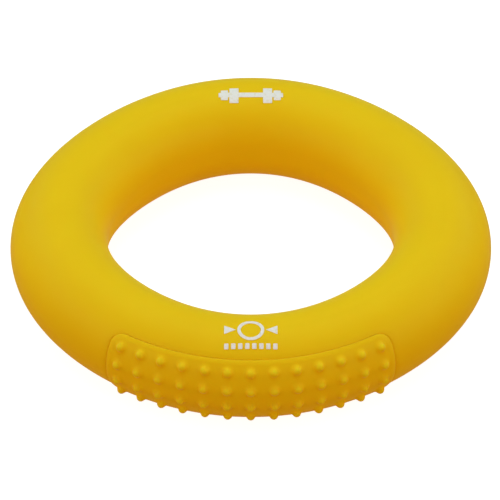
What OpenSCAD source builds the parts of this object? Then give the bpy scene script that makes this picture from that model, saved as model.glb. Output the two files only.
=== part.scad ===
// Hand grip ring: a solid moulded ring with an inset, knobbed grip pad and printed marks.
// The origin is the centre of the ring, +Z is the ring's axis and the pad faces -Y.

/* [Ring] */
// Outer diameter of the ring
ring_d = 88; // [70:1:120]
// Thickness of the ring along its axis
ring_h = 17.6; // [16:0.2:20]
// Width of the level land along the top and along the underside
land_w = 1.3; // [0.5:0.1:4]
// Height of the straight wall around the hole
wall_h = 2; // [1:0.5:5]

/* [Grip pad] */
// Angle that the pad covers around the ring
pad_sweep = 73; // [72:1:100]
// Angle that the pad covers around the section
pad_wrap = 96; // [92:1:110]
// Height of the pad's face above the ring
pad_rise = 0.3; // [0.1:0.05:0.8]
// Depth that the pad is set into the ring
pad_depth = 1.2; // [0.5:0.1:3]
// Corner radius of the pad
pad_corner = 2.5; // [1:0.1:3]
// Width of the seam around the pad
seam_w = 0.12; // [0.05:0.01:0.3]

/* [Knobs] */
// Number of knobs along the ring
knob_columns = 13; // [3:1:13]
// Number of rows of knobs around the section
knob_rows = 4; // [1:1:4]
// Angle between columns, around the ring
column_step = 5.5; // [4:0.1:5.5]
// Angle between rows, around the section
row_step = 21.5; // [18:0.5:22]
// Height of a knob above the pad's face
knob_h = 0.95; // [0.5:0.05:1.5]
// Diameter of a knob at the pad's face
knob_base_d = 1.8; // [1.6:0.1:2.6]
// Diameter of a knob at its tip
knob_tip_d = 1.1; // [0.8:0.1:1.5]

/* [Printed marks] */
// Thickness of the printed ink
ink_t = 0.08; // [0.05:0.01:0.2]
// Length of the dumbbell mark at the back
dumbbell_l = 12; // [8:0.2:16]
// Width of the dumbbell mark's tallest plates
dumbbell_w = 3.8; // [2:0.1:4]
// Outer diameter of the ring in the squeeze mark at the front
squeeze_d = 4.8; // [4:0.1:5.4]
// Overall length of the squeeze mark and of the dashes below it
mark_l = 9.5; // [8.4:0.1:12]
// Number of dashes
dash_count = 8; // [2:1:8]
// Width of a dash, across the line
dash_w = 1; // [0.6:0.1:1.4]

/* [Hidden] */

$fn = 96;
silicone = [0.86, 0.70, 0.08];
pad_silicone = [0.80, 0.60, 0.04];
ink = [0.92, 0.90, 0.87];

// The section: a round nose outwards, a rounder-cornered straight wall towards the hole
nose_r = ring_h / 2;
nose_x = ring_d / 2 - nose_r;
crest_x = nose_x - land_w;
inner_r = (ring_h - wall_h) / 2;
hole_r = crest_x - inner_r;

// The pad's face and floor, as radii about the nose's centre
pad_face_r = nose_r + pad_rise;
pad_floor_r = nose_r - pad_depth;
// How deep a knob's solid root reaches into the pad, and the radius of its domed tip
knob_root = 0.5;
knob_dome_r = 1.1;
// How far a pad corner's round stays inside the pad's straight edges
corner_step = 0.06;
// Longer than the section is wide, for the wedge that a slice is cut from
reach = 2 * nose_r;

// Marks, as distances from the ring's axis to their centre lines
dumbbell_y = nose_x - 2.3;
squeeze_y = nose_x + 0.2;
dash_y = nose_x + 3.7;
// Proportions of the dumbbell: bar width, then length, width and place of its plates
bar_w = 0.3 * dumbbell_w;
inner_plate = [0.14 * dumbbell_l, dumbbell_w];
inner_plate_x = 0.26 * dumbbell_l;
outer_plate = [0.11 * dumbbell_l, 0.68 * dumbbell_w];
outer_plate_x = 0.41 * dumbbell_l;
// Line width of the squeeze mark's ring, and its gap to the arrowheads beside it
squeeze_line = 0.6;
arrow_gap = 0.35;
arrow_half_w = 1.1;
// Share of each dash's pitch that is printed
dash_fill = 0.62;

// Outline of the ring's section, grown outwards all round by grow
module ring_section(grow = 0) {
    translate([nose_x, 0])
        circle(nose_r + grow);
    for (side = [-1, 1])
        translate([crest_x, side * wall_h / 2])
            circle(inner_r + grow);
    translate([crest_x, -nose_r - grow])
        square([land_w, ring_h + 2 * grow]);
    translate([hole_r - grow, -wall_h / 2])
        square([inner_r, wall_h]);
}

// Slice of a shell around the nose, between two radii, centred on -Y
module nose_slice(sweep, wrap, r_in, r_out) {
    rotate([0, 0, -90 - sweep / 2])
        rotate_extrude(angle = sweep)
            translate([nose_x, 0])
                intersection() {
                    difference() {
                        circle(r_out);
                        circle(r_in);
                    }
                    polygon([[0, 0], [reach, reach * tan(wrap / 2)], [reach, -reach * tan(wrap / 2)]]);
                }
}

// Puts its children on the nose, sweep degrees round the ring and wrap degrees up the section
module on_nose(sweep, wrap, r) {
    rotate([0, 0, sweep])
        translate([0, -nose_x, 0])
            rotate([90 - wrap, 0, 0])
                translate([0, 0, r])
                    children();
}

// Pad outline with rounded corners, grown sideways by grow, between two radii
module pad_blank(grow, r_in, r_out) {
    round_r = pad_corner + grow;
    half_wrap = pad_wrap / 2 + asin(grow / nose_r);
    half_sweep = pad_sweep / 2 + asin(grow / (nose_x + nose_r));
    inset = round_r + corner_step;
    corner_wrap = half_wrap - asin(inset / nose_r);
    corner_sweep = half_sweep - asin(inset / (nose_x + nose_r * cos(corner_wrap)));
    difference() {
        nose_slice(2 * half_sweep, 2 * half_wrap, r_in, r_out);
        for (side = [-1, 1])
            for (end = [-1, 1])
                on_nose(side * corner_sweep, end * corner_wrap, nose_r / 2)
                    corner_waste(side, end, round_r);
    }
}

// What a rounded corner leaves over: a square post without its round
module corner_waste(side, end, round_r) {
    post = round_r + 2;
    linear_extrude(height = nose_r)
        difference() {
            translate([side * post / 2, end * post / 2])
                square(post, center = true);
            circle(round_r);
        }
}

// One knob: a tapered stub with a domed tip, standing on the pad's face
module knob() {
    rotate_extrude()
        intersection() {
            polygon([
                [0, -knob_root],
                [knob_base_d / 2, -knob_root],
                [knob_base_d / 2, 0],
                [knob_tip_d / 2, knob_h],
                [0, knob_h]
            ]);
            translate([0, knob_h - knob_dome_r])
                circle(knob_dome_r);
        }
}

// A flat figure printed on the ring's upper side
module printed() {
    intersection() {
        difference() {
            rotate_extrude()
                ring_section(ink_t);
            rotate_extrude()
                ring_section();
        }
        linear_extrude(height = ring_h)
            children();
    }
}

// Solid ring with the pad's recess
module ring_body() {
    color(silicone)
        difference() {
            rotate_extrude()
                ring_section();
            pad_blank(seam_w, pad_floor_r, nose_r + 1);
        }
}

// Inset pad with its knobs, moulded in one piece
module grip_pad() {
    color(pad_silicone)
        union() {
            pad_blank(0, pad_floor_r, pad_face_r);
            for (column = [0 : knob_columns - 1])
                for (row = [0 : knob_rows - 1])
                    on_nose(
                        (column - (knob_columns - 1) / 2) * column_step,
                        (row - (knob_rows - 1) / 2) * row_step,
                        pad_face_r
                    )
                        knob();
        }
}

// Dumbbell mark at the back of the ring
module dumbbell_print() {
    color(ink)
        printed()
            translate([0, dumbbell_y]) {
                square([dumbbell_l, bar_w], center = true);
                for (side = [-1, 1]) {
                    translate([side * inner_plate_x, 0])
                        square(inner_plate, center = true);
                    translate([side * outer_plate_x, 0])
                        square(outer_plate, center = true);
                }
            }
}

// Squeeze mark at the front of the ring: a small ring between two inward arrowheads
module squeeze_print() {
    arrow_tip = squeeze_d / 2 + arrow_gap;
    color(ink)
        printed()
            translate([0, -squeeze_y]) {
                difference() {
                    circle(d = squeeze_d);
                    circle(d = squeeze_d - 2 * squeeze_line);
                }
                for (side = [-1, 1])
                    polygon([
                        [side * arrow_tip, 0],
                        [side * mark_l / 2, arrow_half_w],
                        [side * mark_l / 2, -arrow_half_w]
                    ]);
            }
}

// Row of dashes between the squeeze mark and the pad
module dash_print() {
    pitch = mark_l / (dash_count - 1 + dash_fill);
    color(ink)
        printed()
            for (i = [0 : dash_count - 1])
                translate([(i - (dash_count - 1) / 2) * pitch, -dash_y])
                    square([dash_fill * pitch, dash_w], center = true);
}

ring_body();
grip_pad();
dumbbell_print();
squeeze_print();
dash_print();
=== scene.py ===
"""Looks of the hand grip ring: fine meshes, procedural materials, floor, light and camera."""
import math

import bmesh
import bpy
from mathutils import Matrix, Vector


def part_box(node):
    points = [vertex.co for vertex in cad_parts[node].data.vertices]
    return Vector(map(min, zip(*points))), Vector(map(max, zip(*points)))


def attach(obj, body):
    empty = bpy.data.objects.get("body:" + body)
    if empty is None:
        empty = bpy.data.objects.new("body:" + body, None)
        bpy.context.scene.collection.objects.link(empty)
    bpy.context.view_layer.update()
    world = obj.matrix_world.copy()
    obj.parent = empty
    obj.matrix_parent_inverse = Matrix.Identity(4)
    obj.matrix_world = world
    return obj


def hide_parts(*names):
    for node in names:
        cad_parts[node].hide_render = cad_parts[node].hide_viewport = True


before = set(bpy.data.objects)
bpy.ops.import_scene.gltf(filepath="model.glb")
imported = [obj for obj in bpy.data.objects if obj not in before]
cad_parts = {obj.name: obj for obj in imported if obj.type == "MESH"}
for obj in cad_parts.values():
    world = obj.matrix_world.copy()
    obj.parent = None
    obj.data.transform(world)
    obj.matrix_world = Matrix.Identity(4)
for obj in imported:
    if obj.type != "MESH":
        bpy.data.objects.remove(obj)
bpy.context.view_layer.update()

# ---------------------------------------------------------------- sizes, mm and degrees
MM = 0.001
ring_low, ring_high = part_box("ring_body")
NOSE_R = ring_high.z / MM                      # radius of the section's outer nose
NOSE_X = ring_high.x / MM - NOSE_R             # the nose's centre, from the ring's axis
LAND_W = 1.3                                   # level land on top and underneath
WALL_H = 2.0                                   # straight wall around the hole
CREST_X = NOSE_X - LAND_W
INNER_R = NOSE_R - WALL_H / 2
OUTER_R = NOSE_X + NOSE_R
HOLE_R = CREST_X - INNER_R

PAD_SWEEP = 36.5                               # half the pad's angle around the ring
PAD_WRAP = 48.0                                # half the pad's angle around the section
PAD_RISE = 0.3
PAD_DEPTH = 1.2
PAD_CORNER = 2.5
END_GAP = 0.28                                 # how much wider the seam is at the pad's ends
PAD_FACE_R = NOSE_R + PAD_RISE

COLUMNS, ROWS = 13, 4
COLUMN_STEP, ROW_STEP = 5.5, 21.5
CELL = 8                                       # mesh steps along one side of a knob's cell
ARC_STEPS = 24                                 # points along half of a pad corner's arc
RING_STEPS = 376                               # mesh steps around the rest of the ring
LAST_COLUMN = COLUMN_STEP * (COLUMNS / 2 - 1)  # outermost line between two columns
LAST_ROW = ROW_STEP * (ROWS / 2 - 1)           # outermost line between two rows
PATCH_SWEEP, PATCH_WRAP = 39.0, 60.0           # the ring's own mesh is regular outside this

# A knob's profile: distance from its axis, height above the pad's face
KNOB = [(1.5, 0.0), (1.27, 0.03), (1.09, 0.09), (0.95, 0.175), (0.85, 0.28), (0.77, 0.4),
        (0.69, 0.53), (0.6, 0.66), (0.48, 0.78), (0.34, 0.87), (0.18, 0.93)]
KNOB_H = 0.95

# Between these distances outside the pad's edge the ring rounds down into the seam. Each row:
# distance, height above the nose, share of END_GAP that is added at the pad's ends
LIP = [(1.2, 0.0, 1), (0.9, -0.01, 1), (0.65, -0.03, 1), (0.42, -0.06, 1), (0.25, -0.088, 1),
       (0.12, -0.115, 1), (0.05, -0.16, 0.8), (0.03, -0.3, 0.2), (0.03, -PAD_DEPTH, 0)]
# The pad's rim, from the seam up to its face: distance outside its edge, height above the nose
RIM = [(0.0, -0.4), (0.0, 0.0), (-0.02, 0.05), (-0.07, 0.09), (-0.14, 0.125), (-0.25, 0.165),
       (-0.4, 0.205), (-0.6, 0.25), (-0.85, PAD_RISE)]
RIM_W = 0.95                                   # the knobs' cells start this far inside the edge
FLOOR_GAP = 0.01                               # keeps the pad's back off the recess's floor
FLOOR_INSET = 0.02                             # and its lower edge off the recess's wall

INK_T = 0.08
INK_ROOT = -0.03                               # how deep a print's base lies in the ring

# The soft ring lies slightly out of round: radial offsets over three and four waves, and what
# the hole's edge has besides
WAVE_3, WAVE_4 = -0.22, 0.4
HOLE_WAVE_4, HOLE_SHIFT = 0.1, -0.15


# ---------------------------------------------------------------- mesh helpers
def settle(bm):
    """Moves every vertex outwards or inwards with the ring's slight out-of-roundness."""
    for vert in bm.verts:
        x, y, z = vert.co
        rho, az = math.hypot(x, y), math.atan2(x, -y)
        inwards = (OUTER_R - rho / MM) / (OUTER_R - HOLE_R)
        shift = (WAVE_3 * math.cos(3 * az) + (WAVE_4 + HOLE_WAVE_4 * inwards) * math.cos(4 * az)
                 + HOLE_SHIFT * inwards) * MM
        vert.co = Vector((x * (1 + shift / rho), y * (1 + shift / rho), z))


def new_object(name, bm, smooth=True, soft=True):
    bmesh.ops.remove_doubles(bm, verts=bm.verts, dist=1e-7)
    if soft:
        settle(bm)
    bmesh.ops.recalc_face_normals(bm, faces=bm.faces)
    mesh = bpy.data.meshes.new(name)
    bm.to_mesh(mesh)
    bm.free()
    for polygon in mesh.polygons:
        polygon.use_smooth = smooth
    obj = bpy.data.objects.new(name, mesh)
    bpy.context.scene.collection.objects.link(obj)
    return obj


def on_nose(az, wrap, r):
    """Point az degrees round the ring and wrap degrees up the nose, r from the nose's centre."""
    a, w = math.radians(az), math.radians(wrap)
    rho = NOSE_X + r * math.cos(w)
    return Vector((rho * math.sin(a), -rho * math.cos(a), r * math.sin(w))) * MM


def sweep_deg(length, wrap, r=NOSE_R):
    """Degrees round the ring that a length takes, at this height on the nose."""
    return math.degrees(length / (NOSE_X + r * math.cos(math.radians(wrap))))


def spread(start, end, steps):
    return [start + (end - start) * i / steps for i in range(steps)]


def ticks(end, last, cells):
    """Marks from -end to end that fall on every line between two cells."""
    inner = spread(-last, last, CELL * (cells - 2))
    return spread(-end, -last, CELL) + inner + spread(last, end, CELL) + [end]


def resample(path, steps):
    """steps + 1 points evenly along a path of (azimuth, wrap) points."""
    scale = (NOSE_X + NOSE_R * math.cos(math.radians(PAD_WRAP * 0.8))) / NOSE_R
    length = [0.0]
    for p, q in zip(path, path[1:]):
        length.append(length[-1] + math.hypot((q[0] - p[0]) * scale, q[1] - p[1]))
    out, k = [], 0
    for i in range(steps + 1):
        want = length[-1] * i / steps
        while k < len(path) - 2 and length[k + 1] < want:
            k += 1
        t = (want - length[k]) / max(length[k + 1] - length[k], 1e-9)
        out.append(tuple(a + (b - a) * t for a, b in zip(path[k], path[k + 1])))
    return out


def outline(offset, gap=0.0):
    """Loop of (azimuth, wrap) round the pad, offset mm outside its edge: bottom, right, top, left.

    At the pad's two ends the loop lies another gap mm further out.
    """
    top = PAD_WRAP + math.degrees(offset / NOSE_R)
    centre_w = PAD_WRAP - math.degrees(PAD_CORNER / NOSE_R)
    centre_a = PAD_SWEEP - sweep_deg(PAD_CORNER, centre_w)
    r = PAD_CORNER + offset

    def arc(t):
        w = centre_w + math.degrees(r * math.sin(t) / NOSE_R)
        return centre_a + sweep_deg(r * math.cos(t) + gap * math.cos(t) ** 2, w), w

    def side(w):
        return PAD_SWEEP + sweep_deg(offset + gap, w), w

    # a corner's two halves: from the top down to 45 degrees, and from there down to the side
    half_arc = [math.pi / 4 * i / ARC_STEPS for i in range(ARC_STEPS + 1)]
    upper = resample([(LAST_COLUMN, top)] + [arc(math.pi / 2 - t) for t in half_arc], CELL)
    lower = resample([arc(math.pi / 4 - t) for t in half_arc] + [side(LAST_ROW)], CELL)
    flat_top = [(a, top) for a in spread(-LAST_COLUMN, LAST_COLUMN, CELL * (COLUMNS - 2))]
    flat_side = [side(w) for w in spread(-LAST_ROW, LAST_ROW, CELL * (ROWS - 2))]
    along = [(-a, w) for a, w in reversed(upper[1:])] + flat_top + upper[:-1]
    up = [(a, -w) for a, w in lower[:-1]] + flat_side + lower[:0:-1]
    bottom, back = [(a, -w) for a, w in along], [(-a, w) for a, w in along]
    down = [(-a, -w) for a, w in up]
    return bottom + up + back + down


def add_loop(bm, loop, r):
    return [bm.verts.new(on_nose(a, w, r)) for a, w in loop]


def bridge(bm, a, b):
    n = len(a)
    for i in range(n):
        j = (i + 1) % n
        bm.faces.new((a[i], a[j], b[j], b[i]))


def fill(bm, loop, verts, r):
    """Regular grid across a loop whose vertices exist already."""
    nx, ny = CELL * COLUMNS, CELL * ROWS
    bottom, right = range(0, nx + 1), range(nx, nx + ny + 1)
    top = range(2 * nx + ny, nx + ny - 1, -1)
    left = [0] + list(range(2 * nx + 2 * ny - 1, 2 * nx + ny - 1, -1))
    grid = [[None] * (ny + 1) for _ in range(nx + 1)]
    for i in range(nx + 1):
        grid[i][0], grid[i][ny] = verts[bottom[i]], verts[top[i]]
    for j in range(ny + 1):
        grid[0][j], grid[nx][j] = verts[left[j]], verts[right[j]]
    corner = [loop[0], loop[nx], loop[2 * nx + ny], loop[nx + ny]]
    for i in range(1, nx):
        for j in range(1, ny):
            u, v = i / nx, j / ny
            point = []
            for c in (0, 1):
                edges = ((1 - v) * loop[bottom[i]][c] + v * loop[top[i]][c]
                         + (1 - u) * loop[left[j]][c] + u * loop[right[j]][c])
                corners = ((1 - u) * (1 - v) * corner[0][c] + u * (1 - v) * corner[1][c]
                           + (1 - u) * v * corner[2][c] + u * v * corner[3][c])
                point.append(edges - corners)
            grid[i][j] = bm.verts.new(on_nose(*point, r))
    for i in range(nx):
        for j in range(ny):
            bm.faces.new((grid[i][j], grid[i + 1][j], grid[i + 1][j + 1], grid[i][j + 1]))


# ---------------------------------------------------------------- ring body
def rest_of_section():
    """Section points from the nose at +PATCH_WRAP over the top, the hole and the underside."""
    nose_steps, land_steps, inner_steps = 10, 3, 28
    upper = []
    for i in range(1, nose_steps):
        t = math.radians(PATCH_WRAP + (90 - PATCH_WRAP) * i / nose_steps)
        upper.append((NOSE_X + NOSE_R * math.cos(t), NOSE_R * math.sin(t)))
    upper += [(NOSE_X - LAND_W * i / land_steps, NOSE_R) for i in range(land_steps)]
    for i in range(inner_steps + 1):
        t = math.radians(90 + 90 * i / inner_steps)
        upper.append((CREST_X + INNER_R * math.cos(t), WALL_H / 2 + INNER_R * math.sin(t)))
    hole = [(CREST_X - INNER_R, WALL_H * s) for s in (0.25, 0.0, -0.25)]
    return upper + hole + [(x, -z) for x, z in reversed(upper)]


def make_ring():
    bm = bmesh.new()
    az = ticks(PATCH_SWEEP, LAST_COLUMN, COLUMNS)
    az += spread(PATCH_SWEEP, 360 - PATCH_SWEEP, RING_STEPS)[1:]
    wr = ticks(PATCH_WRAP, LAST_ROW, ROWS)
    rest = rest_of_section()
    columns = []
    for a in az:
        s, c = math.sin(math.radians(a)), math.cos(math.radians(a))
        column = [bm.verts.new(on_nose(a, w, NOSE_R)) for w in wr]
        column += [bm.verts.new(Vector((x * s, -x * c, z)) * MM) for x, z in rest]
        columns.append(column)
    inside_a, inside_w = CELL * COLUMNS, CELL * ROWS
    for i in range(len(az)):
        p, q = columns[i], columns[(i + 1) % len(az)]
        for j in range(len(p)):
            if i < inside_a and j < inside_w:
                continue
            k = (j + 1) % len(p)
            bm.faces.new((p[j], q[j], q[k], p[k]))
    # the recess: lip, wall and floor of the seam
    edge = [columns[i][0] for i in range(inside_a)]
    edge += [columns[inside_a][j] for j in range(inside_w)]
    edge += [columns[i][inside_w] for i in range(inside_a, 0, -1)]
    edge += [columns[0][j] for j in range(inside_w, 0, -1)]
    last = edge
    for offset, height, share in LIP:
        loop = outline(offset, share * END_GAP)
        verts = add_loop(bm, loop, NOSE_R + height)
        bridge(bm, last, verts)
        last = verts
    fill(bm, loop, last, NOSE_R - PAD_DEPTH)
    for vert in [v for v in bm.verts if not v.link_faces]:
        bm.verts.remove(vert)
    return new_object("ring_silicone", bm)


# ---------------------------------------------------------------- pad with knobs
def make_pad():
    bm = bmesh.new()
    # tip holds each knob vertex's share of the knob's height; the pad's material uses it to paint a
    # highlight on the knob tips.
    tip = bm.verts.layers.float.new("tip")
    back, back_r = outline(-FLOOR_INSET), NOSE_R - PAD_DEPTH + FLOOR_GAP
    last = add_loop(bm, back, back_r)
    fill(bm, back, last, back_r)
    for offset, height in RIM:
        verts = add_loop(bm, outline(offset), NOSE_R + height)
        bridge(bm, last, verts)
        last = verts
    block = outline(-RIM_W)
    nx, ny = CELL * COLUMNS, CELL * ROWS
    nodes = {}

    def node(i, j):
        """Vertex on a line between cells, i and j mesh steps from the block's lower left corner."""
        if (i, j) not in nodes:
            if j == 0:
                at = block[i]
            elif i == nx:
                at = block[nx + j]
            elif j == ny:
                at = block[nx + ny + nx - i]
            elif i == 0:
                at = block[2 * nx + ny + ny - j]
            elif i % CELL == 0:
                low, high = block[i], block[nx + ny + nx - i]
                row = j / CELL
                if row < 1:
                    w = low[1] + (-LAST_ROW - low[1]) * row
                elif row > ROWS - 1:
                    w = LAST_ROW + (high[1] - LAST_ROW) * (row - ROWS + 1)
                else:
                    w = (row - ROWS / 2) * ROW_STEP
                at = (low[0], w)
            else:
                left, right = block[2 * nx + ny + ny - j], block[nx + j]
                column = i / CELL
                if column < 1:
                    a = left[0] + (-LAST_COLUMN - left[0]) * column
                elif column > COLUMNS - 1:
                    a = LAST_COLUMN + (right[0] - LAST_COLUMN) * (column - COLUMNS + 1)
                else:
                    a = (column - COLUMNS / 2) * COLUMN_STEP
                at = (a, left[1])
            nodes[i, j] = bm.verts.new(on_nose(*at, PAD_FACE_R)), at
        return nodes[i, j]

    rim = [node(i, 0)[0] for i in range(nx)] + [node(nx, j)[0] for j in range(ny)]
    rim += [node(i, ny)[0] for i in range(nx, 0, -1)] + [node(0, j)[0] for j in range(ny, 0, -1)]
    bridge(bm, last, rim)
    for column in range(COLUMNS):
        for row in range(ROWS):
            i0, j0, i1, j1 = column * CELL, row * CELL, (column + 1) * CELL, (row + 1) * CELL
            ring = [node(i, j0) for i in range(i0, i1)] + [node(i1, j) for j in range(j0, j1)]
            ring += [node(i, j1) for i in range(i1, i0, -1)]
            ring += [node(i0, j) for j in range(j1, j0, -1)]
            add_knob(bm, tip, ring, (column - (COLUMNS - 1) / 2) * COLUMN_STEP,
                     (row - (ROWS - 1) / 2) * ROW_STEP)
    return new_object("grip_pad_silicone", bm)


def add_knob(bm, tip, ring, az, wrap):
    """Closes one cell with a filleted, dome-tipped knob that stands square on the pad's face."""
    axis = (on_nose(az, wrap, PAD_FACE_R + 1) - on_nose(az, wrap, PAD_FACE_R)).normalized() * MM
    n = len(ring)

    def around(k, rho):
        t = math.radians(-135 + 360 * k / n)
        w = wrap + math.degrees(rho * math.sin(t) / PAD_FACE_R)
        return az + sweep_deg(rho * math.cos(t), w, PAD_FACE_R), w

    # one loop on the pad's face, half way from the cell's edge to the knob's foot
    last = [v for v, _ in ring]
    foot = [around(k, KNOB[0][0]) for k in range(n)]
    middle = [tuple(p + (q - p) * 0.5 for p, q in zip(at, b)) for (_, at), b in zip(ring, foot)]
    verts = add_loop(bm, middle, PAD_FACE_R)
    bridge(bm, last, verts)
    last = verts
    for rho, h in KNOB:
        verts = [bm.verts.new(on_nose(*around(k, rho), PAD_FACE_R) + axis * h) for k in range(n)]
        for v in verts:
            v[tip] = h / KNOB_H
        bridge(bm, last, verts)
        last = verts
    top = bm.verts.new(on_nose(az, wrap, PAD_FACE_R) + axis * KNOB_H)
    top[tip] = 1.0
    for k in range(n):
        bm.faces.new((last[k], last[(k + 1) % n], top))


# ---------------------------------------------------------------- printed marks
def upper_surface(x, y, lift):
    """Point over (x, y) on the ring's upper side, lifted off it along the surface's normal."""
    rho = math.hypot(x, y)
    if rho > NOSE_X:
        cx, cz, r = NOSE_X, 0.0, NOSE_R
    elif rho > CREST_X:
        cx, cz, r = rho, 0.0, NOSE_R
    else:
        cx, cz, r = CREST_X, WALL_H / 2, INNER_R
    z = math.sqrt(r * r - (rho - cx) ** 2)
    n_rho, n_z = (rho - cx) / r, z / r
    rho2 = rho + lift * n_rho
    return Vector((x * rho2 / rho, y * rho2 / rho, cz + z + lift * n_z)) * MM


def ink_band(bm, stations, centre, across=10):
    """Closed plate of ink: a half width at each station along x, about a centre line."""
    rows = []
    for x, half in stations:
        ys = [centre[1] + half * (2 * j / across - 1) for j in range(across + 1)]
        top = [bm.verts.new(upper_surface(centre[0] + x, y, INK_T)) for y in ys]
        base = [bm.verts.new(upper_surface(centre[0] + x, y, INK_ROOT)) for y in ys]
        rows.append((top, base))
    for (t0, b0), (t1, b1) in zip(rows, rows[1:]):
        for j in range(across):
            bm.faces.new((t0[j], t1[j], t1[j + 1], t0[j + 1]))
            bm.faces.new((b0[j + 1], b1[j + 1], b1[j], b0[j]))
        bm.faces.new((t0[0], b0[0], b1[0], t1[0]))
        bm.faces.new((t1[across], b1[across], b0[across], t0[across]))
    for t, b in (rows[0], rows[-1]):
        for j in range(across):
            bm.faces.new((t[j], t[j + 1], b[j + 1], b[j]))


def plate(x0, x1, half, inner, corner=0.14, n=5):
    """Stations of one plate, rounded at its corners, standing on a bar of half width inner."""
    turn = [math.pi / 2 * i / n for i in range(n + 1)]
    rise = [(x0 + corner * (1 - math.cos(t)), half - corner * (1 - math.sin(t))) for t in turn]
    drop = [(x0 + x1 - x, w) for x, w in reversed(rise)]
    steps = max(2, round((x1 - x0) / 0.3))
    middle = [(x, half) for x in spread(x0 + corner, x1 - corner, steps)[1:]]
    return [(x0 - 0.004, inner)] + rise + middle + drop + [(x1 + 0.004, inner)]


DUMBBELL_L, DUMBBELL_W, DUMBBELL_Y = 12.0, 3.8, NOSE_X - 2.3
SQUEEZE_D, SQUEEZE_LINE, SQUEEZE_Y = 4.8, 0.6, NOSE_X + 0.2
MARK_L, ARROW_GAP, ARROW_HALF = 9.5, 0.35, 1.1
DASHES, DASH_W, DASH_FILL, DASH_Y = 8, 1.0, 0.62, NOSE_X + 3.7


def make_dumbbell():
    bm = bmesh.new()
    bar = 0.15 * DUMBBELL_W
    half = DUMBBELL_L / 2
    right = [(x, bar) for x in spread(0, 0.19 * DUMBBELL_L - 0.05, 8)]
    right += plate(0.19 * DUMBBELL_L, 0.33 * DUMBBELL_L, DUMBBELL_W / 2, bar)
    right += plate(0.355 * DUMBBELL_L, 0.465 * DUMBBELL_L, 0.34 * DUMBBELL_W, bar)
    right += [(half - 0.05, bar), (half, bar - 0.05)]
    stations = [(-x, w) for x, w in reversed(right[1:])] + right
    ink_band(bm, stations, (0, DUMBBELL_Y))
    return new_object("dumbbell_ink", bm, smooth=False)


def make_squeeze():
    bm = bmesh.new()
    n, across = 72, 5
    centre = (0, -SQUEEZE_Y)
    loops = []
    for lift in (INK_T, INK_ROOT):
        for k in range(across + 1):
            k = k if lift > 0 else across - k
            r = SQUEEZE_D / 2 - SQUEEZE_LINE * k / across
            loops.append([bm.verts.new(upper_surface(
                centre[0] + r * math.cos(2 * math.pi * i / n),
                centre[1] + r * math.sin(2 * math.pi * i / n), lift)) for i in range(n)])
    for a, b in zip(loops, loops[1:] + loops[:1]):
        bridge(bm, a, b)
    base_x, tip_x = MARK_L / 2, SQUEEZE_D / 2 + ARROW_GAP
    for side in (-1, 1):
        # from the rounded tip outwards to the rounded back corners
        stations = [(tip_x, 0.02), (tip_x + 0.04, 0.09)]
        stations += [(x, ARROW_HALF * (x - tip_x) / (base_x - tip_x))
                     for x in spread(tip_x + 0.12, base_x - 0.12, 6)]
        stations += [(base_x - 0.12, ARROW_HALF * 0.91), (base_x - 0.05, ARROW_HALF * 0.93),
                     (base_x, ARROW_HALF * 0.88)]
        ink_band(bm, [(side * x, w) for x, w in stations], centre)
    return new_object("squeeze_ink", bm, smooth=False)


def make_dashes():
    bm = bmesh.new()
    pitch = MARK_L / (DASHES - 1 + DASH_FILL)
    half = DASH_FILL * pitch / 2
    for i in range(DASHES):
        ink_band(bm, plate(-half, half, DASH_W / 2, DASH_W / 2 - 0.14)[1:-1],
                 ((i - (DASHES - 1) / 2) * pitch, -DASH_Y))
    return new_object("dash_ink", bm, smooth=False)


# ---------------------------------------------------------------- materials
def nodes_of(name):
    material = bpy.data.materials.new(name)
    material.use_nodes = True
    tree = material.node_tree
    shader = next(n for n in tree.nodes if n.type == "BSDF_PRINCIPLED")
    return material, tree, shader


def noise(tree, scale, detail=2.0, rough=0.5):
    where = tree.nodes.new("ShaderNodeTexCoord")
    node = tree.nodes.new("ShaderNodeTexNoise")
    node.inputs["Scale"].default_value = scale
    node.inputs["Detail"].default_value = detail
    node.inputs["Roughness"].default_value = rough
    tree.links.new(where.outputs["Object"], node.inputs["Vector"])
    return node.outputs["Fac"]


def ramp(tree, source, stops):
    node = tree.nodes.new("ShaderNodeValToRGB")
    for element, (at, colour) in zip(node.color_ramp.elements, (stops[0], stops[-1])):
        element.position, element.color = at, (*colour, 1)
    for at, colour in stops[1:-1]:
        node.color_ramp.elements.new(at).color = (*colour, 1)
    tree.links.new(source, node.inputs["Fac"])
    return node.outputs["Color"]


def mix(tree, fac, a, b):
    node = tree.nodes.new("ShaderNodeMix")
    node.data_type = "RGBA"
    for value, socket in ((fac, node.inputs[0]), (a, node.inputs[6]), (b, node.inputs[7])):
        if isinstance(value, (int, float)):
            socket.default_value = value
        elif isinstance(value, tuple):
            socket.default_value = (*value, 1)
        else:
            tree.links.new(value, socket)
    return node.outputs[2]


def remap(tree, source, a0, a1, b0, b1):
    node = tree.nodes.new("ShaderNodeMapRange")
    for value, name in zip((a0, a1, b0, b1), ("From Min", "From Max", "To Min", "To Max")):
        node.inputs[name].default_value = value
    tree.links.new(source, node.inputs["Value"])
    return node.outputs["Result"]


def bump(tree, height, strength, distance):
    node = tree.nodes.new("ShaderNodeBump")
    node.inputs["Strength"].default_value = strength
    node.inputs["Distance"].default_value = distance
    tree.links.new(height, node.inputs["Height"])
    return node.outputs["Normal"]


YELLOW = (0.95, 0.56, 0.003)


def scaled(colour, r, g, b):
    return (min(1.0, colour[0] * r), colour[1] * g, colour[2] * b)


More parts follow.
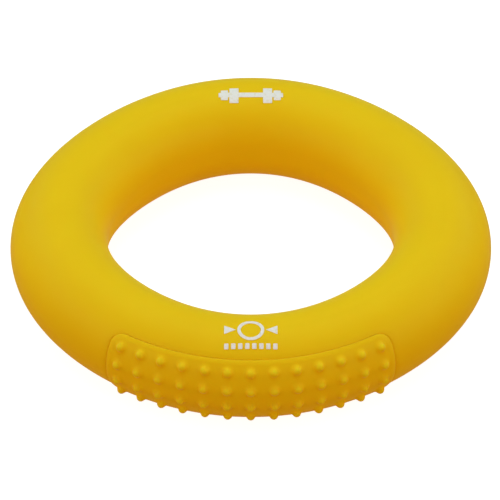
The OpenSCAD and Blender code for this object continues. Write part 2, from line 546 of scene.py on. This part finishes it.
def silicone(name, knobs):
    material, tree, shader = nodes_of(name)
    broad = noise(tree, 55, 3.0)
    colour = ramp(tree, broad, [(0.3, scaled(YELLOW, 0.985, 0.975, 0.9)),
                                (0.7, scaled(YELLOW, 1.01, 1.02, 1.1))])
    # Painted highlight: the knobs turn lighter and greener towards their tips, following the mesh's tip
    # attribute, in place of light falling on the domes.
    if knobs:
        tip = tree.nodes.new("ShaderNodeAttribute")
        tip.attribute_name = "tip"
        fac = remap(tree, tip.outputs["Fac"], 0.4, 0.95, 0.0, 1.0)
        colour = mix(tree, fac, colour, scaled(YELLOW, 0.96, 1.1, 2.5))
    tree.links.new(colour, shader.inputs["Base Color"])
    uneven = remap(tree, noise(tree, 160, 4.0), 0.3, 0.7, 0.47, 0.56)
    tree.links.new(uneven, shader.inputs["Roughness"])
    grain = bump(tree, noise(tree, 2600, 2.0, 0.6), 0.12, 0.00004)
    tree.links.new(grain, shader.inputs["Normal"])
    shader.inputs["Subsurface Weight"].default_value = 0.12
    shader.inputs["Subsurface Radius"].default_value = (1.0, 0.35, 0.06)
    shader.inputs["Subsurface Scale"].default_value = 0.0015
    shader.inputs["IOR"].default_value = 1.41
    shader.inputs["Specular IOR Level"].default_value = 0.08
    shader.inputs["Sheen Weight"].default_value = 0.14
    shader.inputs["Sheen Roughness"].default_value = 0.33
    shader.inputs["Sheen Tint"].default_value = (0.7, 0.95, 1.0, 1)
    return material


def ink(name):
    material, tree, shader = nodes_of(name)
    speckle = ramp(tree, noise(tree, 2200, 3.0, 0.6),
                   [(0.32, (0.86, 0.70, 0.50)), (0.42, (0.91, 0.79, 0.74)), (0.7, (0.94, 0.83, 0.79))])
    tree.links.new(speckle, shader.inputs["Base Color"])
    tree.links.new(remap(tree, noise(tree, 700), 0.3, 0.7, 0.5, 0.7), shader.inputs["Roughness"])
    return material


def stage_paper(name):
    """White paper that is seen as plain white, and lights the ring warmly and weakly from below."""
    material = bpy.data.materials.new(name)
    material.use_nodes = True
    tree = material.node_tree
    tree.nodes.remove(next(n for n in tree.nodes if n.type == "BSDF_PRINCIPLED"))
    glow, bounce = tree.nodes.new("ShaderNodeEmission"), tree.nodes.new("ShaderNodeEmission")
    glow.inputs["Strength"].default_value = 0.88
    bounce.inputs["Color"].default_value = (1.0, 0.61, 0.1, 1)
    bounce.inputs["Strength"].default_value = 0.55
    diffuse = tree.nodes.new("ShaderNodeBsdfDiffuse")
    tree.links.new(ramp(tree, noise(tree, 3.0), [(0.3, (0.40, 0.40, 0.40)), (0.7, (0.42, 0.42, 0.42))]),
                   diffuse.inputs["Color"])
    lit, choose = tree.nodes.new("ShaderNodeAddShader"), tree.nodes.new("ShaderNodeMixShader")
    tree.links.new(glow.outputs[0], lit.inputs[0])
    tree.links.new(diffuse.outputs[0], lit.inputs[1])
    tree.links.new(tree.nodes.new("ShaderNodeLightPath").outputs["Is Camera Ray"], choose.inputs["Fac"])
    tree.links.new(bounce.outputs[0], choose.inputs[1])
    tree.links.new(lit.outputs[0], choose.inputs[2])
    tree.links.new(choose.outputs[0], tree.nodes["Material Output"].inputs["Surface"])
    return material


# ---------------------------------------------------------------- the pieces
body = silicone("yellow_silicone", False)
knob_tips_painted_light = silicone("yellow_silicone_knobbed", True)
white = ink("white_ink")
for piece, node_name, slot_name, material in (
        (make_ring(), "ring_body", "silicone_body", body),
        (make_pad(), "grip_pad", "silicone_pad", knob_tips_painted_light),
        (make_dumbbell(), "dumbbell_print", "print_ink", white),
        (make_squeeze(), "squeeze_print", "print_ink", white),
        (make_dashes(), "dash_print", "print_ink", white)):
    piece.data.materials.append(material)
    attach(piece, "root")
    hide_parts(node_name)

# ---------------------------------------------------------------- floor
bm = bmesh.new()
span = 3.0
floor_z = ring_low.z - 0.02 * MM               # just clear of the land that rests on it
cuts = 24
ticks_m = [span * (2 * i / cuts - 1) for i in range(cuts + 1)]
grid = [[bm.verts.new((x, y, floor_z)) for y in ticks_m] for x in ticks_m]
for i in range(cuts):
    for j in range(cuts):
        bm.faces.new((grid[i][j], grid[i + 1][j], grid[i + 1][j + 1], grid[i][j + 1]))
floor = new_object("floor", bm, soft=False)
floor.data.materials.append(stage_paper("floor_paper"))

# ---------------------------------------------------------------- light
world = bpy.data.worlds.new("studio")
bpy.context.scene.world = world
world.use_nodes = True
tree = world.node_tree
for name, colour, strength in (("Room", (1.0, 1.0, 1.0), 0.08), ("Seen", (1.0, 1.0, 1.0), 1.0)):
    node = tree.nodes["Background"] if name == "Room" else tree.nodes.new("ShaderNodeBackground")
    node.name = name
    node.inputs["Color"].default_value = (*colour, 1)
    node.inputs["Strength"].default_value = strength
choose = tree.nodes.new("ShaderNodeMixShader")
tree.links.new(tree.nodes.new("ShaderNodeLightPath").outputs["Is Camera Ray"], choose.inputs["Fac"])
tree.links.new(tree.nodes["Room"].outputs[0], choose.inputs[1])
tree.links.new(tree.nodes["Seen"].outputs[0], choose.inputs[2])
tree.links.new(choose.outputs[0], tree.nodes["World Output"].inputs["Surface"])


def softbox(name, azimuth, elevation, watts, colour=(1, 1, 1)):
    """A square soft light 1 m from the ring, turned towards it."""
    light = bpy.data.lights.new(name, "AREA")
    light.shape = "SQUARE"
    light.size = 0.5
    light.energy = watts
    light.color = colour
    obj = bpy.data.objects.new(name, light)
    a, e = math.radians(azimuth), math.radians(elevation)
    obj.location = (math.sin(a) * math.cos(e), -math.cos(a) * math.cos(e), math.sin(e))
    obj.rotation_euler = (-obj.location).to_track_quat("-Z", "Y").to_euler()
    bpy.context.scene.collection.objects.link(obj)


softbox("overhead", 0, 90, 1.78, (0.84, 1.0, 0.95))
softbox("rear_overhead", 180, 60, 2.15, (0.62, 1.0, 0.95))
for side, sign in (("right", 1), ("left", -1)):
    softbox("front_" + side, 45 * sign, 28, 2.1, (1.0, 0.93, 0.9))
    softbox("side_" + side, 90 * sign, 28, 1.8, (1.0, 0.94, 0.95))
    softbox("rear_" + side, 135 * sign, 28, 1.9, (0.69, 1.0, 1.0))

# ---------------------------------------------------------------- camera
ELEVATION = math.radians(39.07)
DISTANCE = 1.0
MM_ACROSS = 92.44                              # what the frame spans at the ring's centre
SENSOR_W = 36
camera_data = bpy.data.cameras.new("camera")
camera = bpy.data.objects.new("camera", camera_data)
bpy.context.scene.collection.objects.link(camera)
camera.location = Vector((0, -math.cos(ELEVATION), math.sin(ELEVATION))) * DISTANCE
camera.rotation_euler = (-camera.location).to_track_quat("-Z", "Y").to_euler()
camera_data.sensor_width = SENSOR_W
camera_data.lens = SENSOR_W * DISTANCE / (MM_ACROSS * MM)
camera_data.shift_x = -0.0016
camera_data.shift_y = -0.0144
camera_data.clip_start = 0.01
bpy.context.scene.camera = camera
bpy.context.scene.view_settings.view_transform = "Standard"
